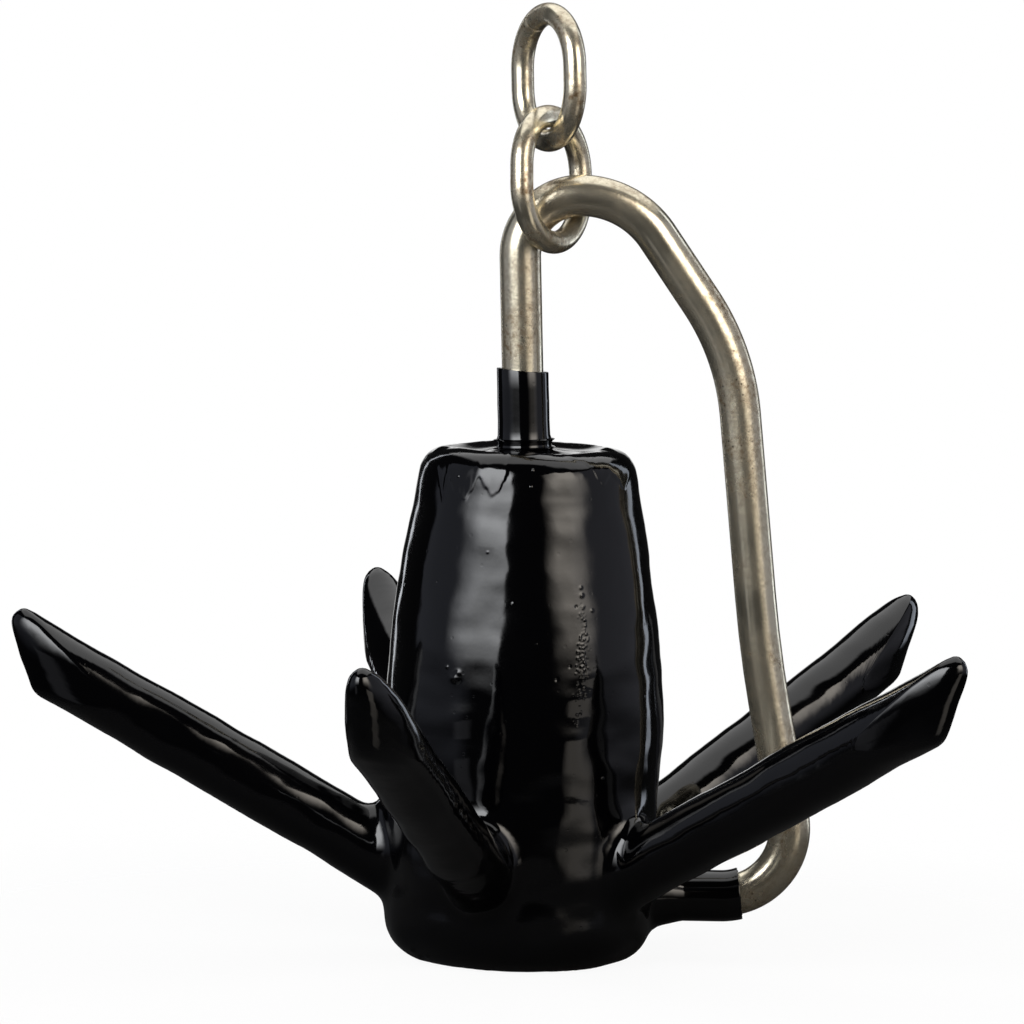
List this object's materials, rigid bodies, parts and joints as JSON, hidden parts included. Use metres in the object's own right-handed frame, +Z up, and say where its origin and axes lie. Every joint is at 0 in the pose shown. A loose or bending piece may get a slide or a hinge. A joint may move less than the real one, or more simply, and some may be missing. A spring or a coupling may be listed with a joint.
{
  "type": "river anchor",
  "caption": "Free-standing river anchor: a vinyl-dipped iron weight with upswept flukes, a bent rod bail and a short chain for the rope.",
  "frame": {"origin": "centre of the flat underside of the weight, on the axis of the casting", "axes": "+Z up along the axis of the weight; the bail lies in the XZ plane, with its hooked end towards +X; the picture looks along +Y"},
  "size_m": [0.2887, 0.3022, 0.2932],
  "materials": {
    "iron": "rough",
    "steel": "satin",
    "chain_steel": "satin",
    "vinyl": "gloss"
  },
  "bodies": {
    "anchor": {"anchor_casting": "iron", "bail_rod": "steel", "vinyl_skin": "vinyl"},
    "lower_link": {"lower_link": "chain_steel"},
    "upper_link": {"upper_link": "chain_steel"}
  },
  "joints": [
    {"name": "lower_link_swing", "type": "hinge", "parent": "anchor", "child": "lower_link", "pos_m": [0.007, 0, 0.2336], "axis": [-1, 0, 0], "range_deg": [0, 110]},
    {"name": "upper_link_swing", "type": "hinge", "parent": "lower_link", "child": "upper_link", "pos_m": [0.00529, 0.0002, 0.25872], "axis": [0.5507, 0.8347, 0], "range_deg": [-30, 115]}
  ]
}
